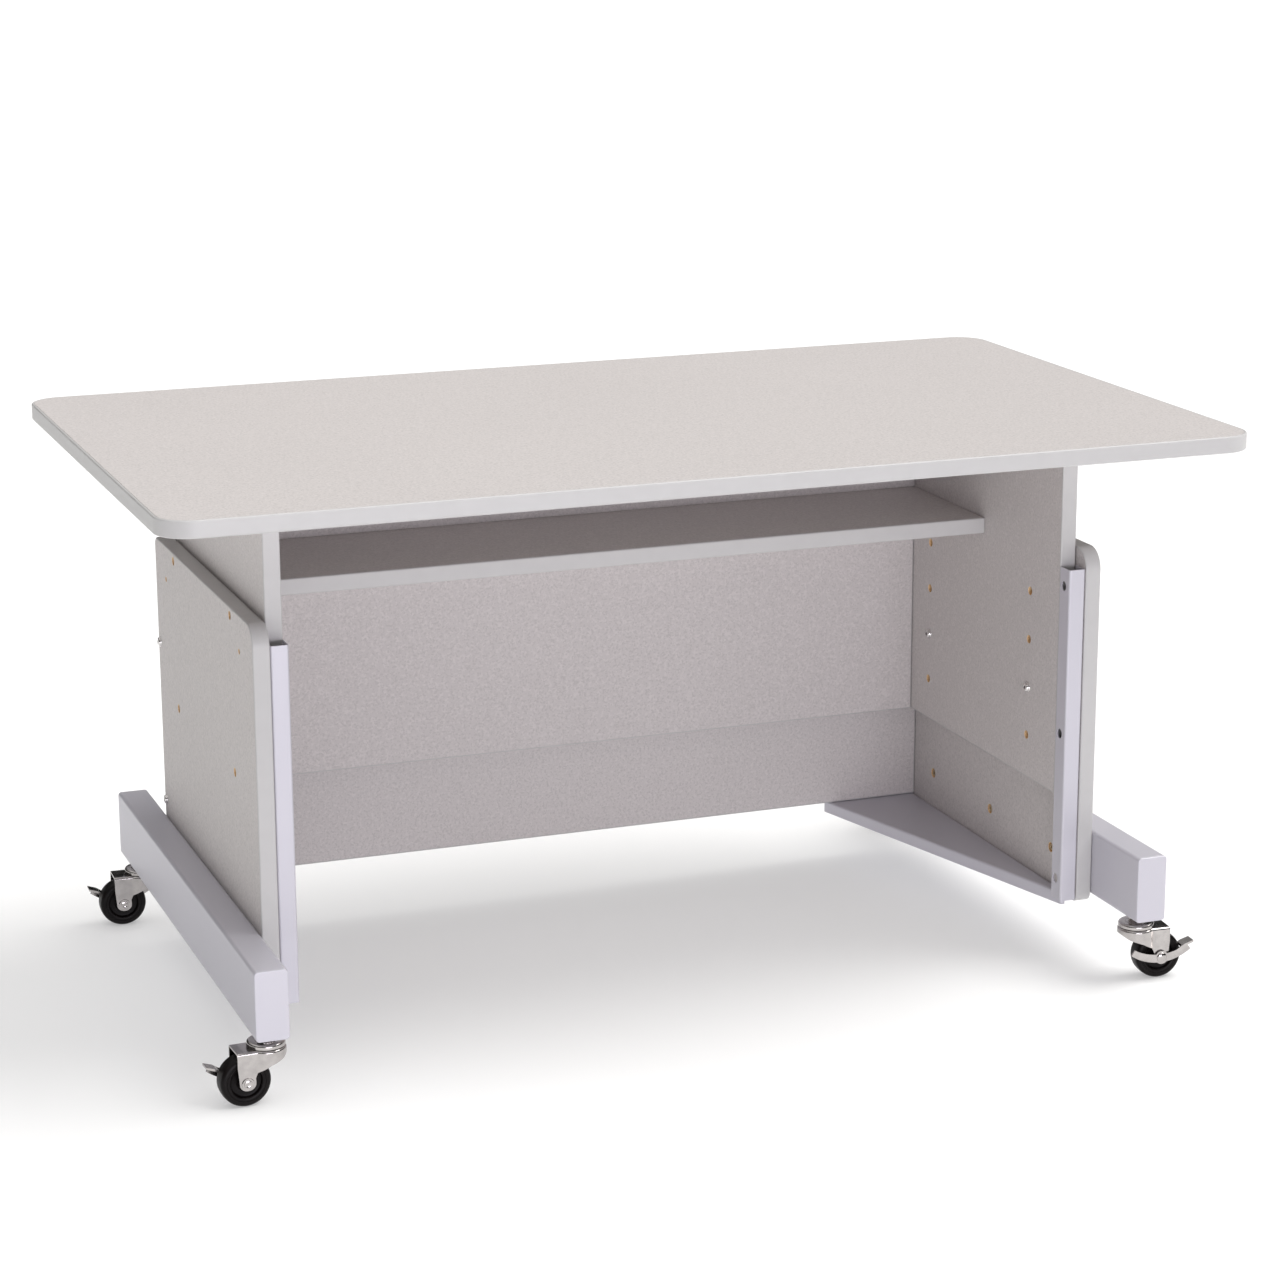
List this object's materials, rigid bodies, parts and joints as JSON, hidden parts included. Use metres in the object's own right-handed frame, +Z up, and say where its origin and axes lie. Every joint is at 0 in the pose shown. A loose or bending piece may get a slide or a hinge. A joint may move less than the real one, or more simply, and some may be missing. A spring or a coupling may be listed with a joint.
{
  "type": "desk",
  "caption": "Rectangular laminate desk with a shelf; its upper half slides in lower side panels for height, on tube feet with braked swivel casters.",
  "frame": {"origin": "on the floor, under the middle of the desktop", "axes": "+X to the right seen from the knee side, +Y towards the back panel, +Z up"},
  "size_m": [1.2192, 0.7112, 0.635],
  "materials": {
    "laminate": "matt light-grey laminate with a fine speckle, over particle board",
    "edge_banding": "smooth satin grey edge banding",
    "painted_steel": "silver-grey powder coat, satin",
    "chrome": "bright zinc and chrome plating",
    "dark_screw": "dark zinc screws",
    "wheel": "hard black wheel, satin"
  },
  "bodies": {
    "base": {"lower_side_panel_left": "laminate", "lower_side_panel_right": "laminate", "lower_back_panel": "laminate", "guide_channel_left": "painted_steel", "guide_channel_right": "painted_steel", "gusset_plate_left": "painted_steel", "gusset_plate_right": "painted_steel", "foot_tube_left": "painted_steel", "foot_tube_right": "painted_steel", "foot_end_cap_left_front": "painted_steel", "foot_end_cap_left_rear": "painted_steel", "foot_bolt_left_1": "dark_screw", "channel_screw_left_1": "dark_screw", "foot_bolt_left_2": "dark_screw", "channel_screw_left_2": "dark_screw", "foot_bolt_left_3": "dark_screw", "channel_screw_left_3": "dark_screw", "back_bolt_left_lower": "chrome", "back_bolt_left_upper": "chrome", "foot_end_cap_right_front": "painted_steel", "foot_end_cap_right_rear": "painted_steel", "foot_bolt_right_1": "dark_screw", "channel_screw_right_1": "dark_screw", "foot_bolt_right_2": "dark_screw", "channel_screw_right_2": "dark_screw", "foot_bolt_right_3": "dark_screw", "channel_screw_right_3": "dark_screw", "back_bolt_right_lower": "chrome", "back_bolt_right_upper": "chrome", "caster_stem_left_front": "chrome", "caster_stem_left_rear": "chrome", "caster_stem_right_front": "chrome", "caster_stem_right_rear": "chrome"},
    "upper": {"desktop": "laminate", "desktop_edge_band": "edge_banding", "upper_side_panel_left": "laminate", "upper_side_panel_right": "laminate", "upper_back_panel": "laminate", "shelf": "laminate", "height_bolt_left_front": "chrome", "height_bolt_left_rear": "chrome", "height_bolt_right_front": "chrome", "height_bolt_right_rear": "chrome"},
    "swivel_left_front": {"caster_fork_left_front": "chrome", "caster_axle_left_front": "chrome"},
    "wheel_left_front": {"caster_wheel_left_front": "wheel"},
    "brake_left_front": {"brake_lever_left_front": "chrome"},
    "swivel_left_rear": {"caster_fork_left_rear": "chrome", "caster_axle_left_rear": "chrome"},
    "wheel_left_rear": {"caster_wheel_left_rear": "wheel"},
    "brake_left_rear": {"brake_lever_left_rear": "chrome"},
    "swivel_right_front": {"caster_fork_right_front": "chrome", "caster_axle_right_front": "chrome"},
    "wheel_right_front": {"caster_wheel_right_front": "wheel"},
    "brake_right_front": {"brake_lever_right_front": "chrome"},
    "swivel_right_rear": {"caster_fork_right_rear": "chrome", "caster_axle_right_rear": "chrome"},
    "wheel_right_rear": {"caster_wheel_right_rear": "wheel"},
    "brake_right_rear": {"brake_lever_right_rear": "chrome"}
  },
  "joints": [
    {"name": "height_slide", "type": "slide", "parent": "base", "child": "upper", "axis": [0, 0, 1], "range_m": [-0.1152, 0.2304]},
    {"name": "caster_swivel_left_front", "type": "hinge", "parent": "base", "child": "swivel_left_front", "pos_m": [-0.5093, -0.3, 0.061], "axis": [0, 0, 1], "continuous": true},
    {"name": "wheel_spin_left_front", "type": "hinge", "parent": "swivel_left_front", "child": "wheel_left_front", "pos_m": [-0.53427, -0.30131, 0.0275], "axis": [0.0523, -0.9986, 0], "continuous": true},
    {"name": "brake_rock_left_front", "type": "hinge", "parent": "swivel_left_front", "child": "brake_left_front", "pos_m": [-0.53427, -0.30131, 0.0275], "axis": [0.0523, -0.9986, 0], "range_deg": [-12, 0]},
    {"name": "caster_swivel_left_rear", "type": "hinge", "parent": "base", "child": "swivel_left_rear", "pos_m": [-0.5093, 0.3, 0.061], "axis": [0, 0, 1], "continuous": true},
    {"name": "wheel_spin_left_rear", "type": "hinge", "parent": "swivel_left_rear", "child": "wheel_left_rear", "pos_m": [-0.53429, 0.30087, 0.0275], "axis": [-0.0349, -0.9994, 0], "continuous": true},
    {"name": "brake_rock_left_rear", "type": "hinge", "parent": "swivel_left_rear", "child": "brake_left_rear", "pos_m": [-0.53429, 0.30087, 0.0275], "axis": [-0.0349, -0.9994, 0], "range_deg": [-12, 0]},
    {"name": "caster_swivel_right_front", "type": "hinge", "parent": "base", "child": "swivel_right_front", "pos_m": [0.5093, -0.3, 0.061], "axis": [0, 0, 1], "continuous": true},
    {"name": "wheel_spin_right_front", "type": "hinge", "parent": "swivel_right_front", "child": "wheel_right_front", "pos_m": [0.53421, -0.30218, 0.0275], "axis": [0.0872, 0.9962, 0], "continuous": true},
    {"name": "brake_rock_right_front", "type": "hinge", "parent": "swivel_right_front", "child": "brake_right_front", "pos_m": [0.53421, -0.30218, 0.0275], "axis": [0.0872, 0.9962, 0], "range_deg": [-12, 0]},
    {"name": "caster_swivel_right_rear", "type": "hinge", "parent": "base", "child": "swivel_right_rear", "pos_m": [0.5093, 0.3, 0.061], "axis": [0, 0, 1], "continuous": true},
    {"name": "wheel_spin_right_rear", "type": "hinge", "parent": "swivel_right_rear", "child": "wheel_right_rear", "pos_m": [0.53429, 0.30087, 0.0275], "axis": [-0.0349, 0.9994, 0], "continuous": true},
    {"name": "brake_rock_right_rear", "type": "hinge", "parent": "swivel_right_rear", "child": "brake_right_rear", "pos_m": [0.53429, 0.30087, 0.0275], "axis": [-0.0349, 0.9994, 0], "range_deg": [-12, 0]}
  ]
}
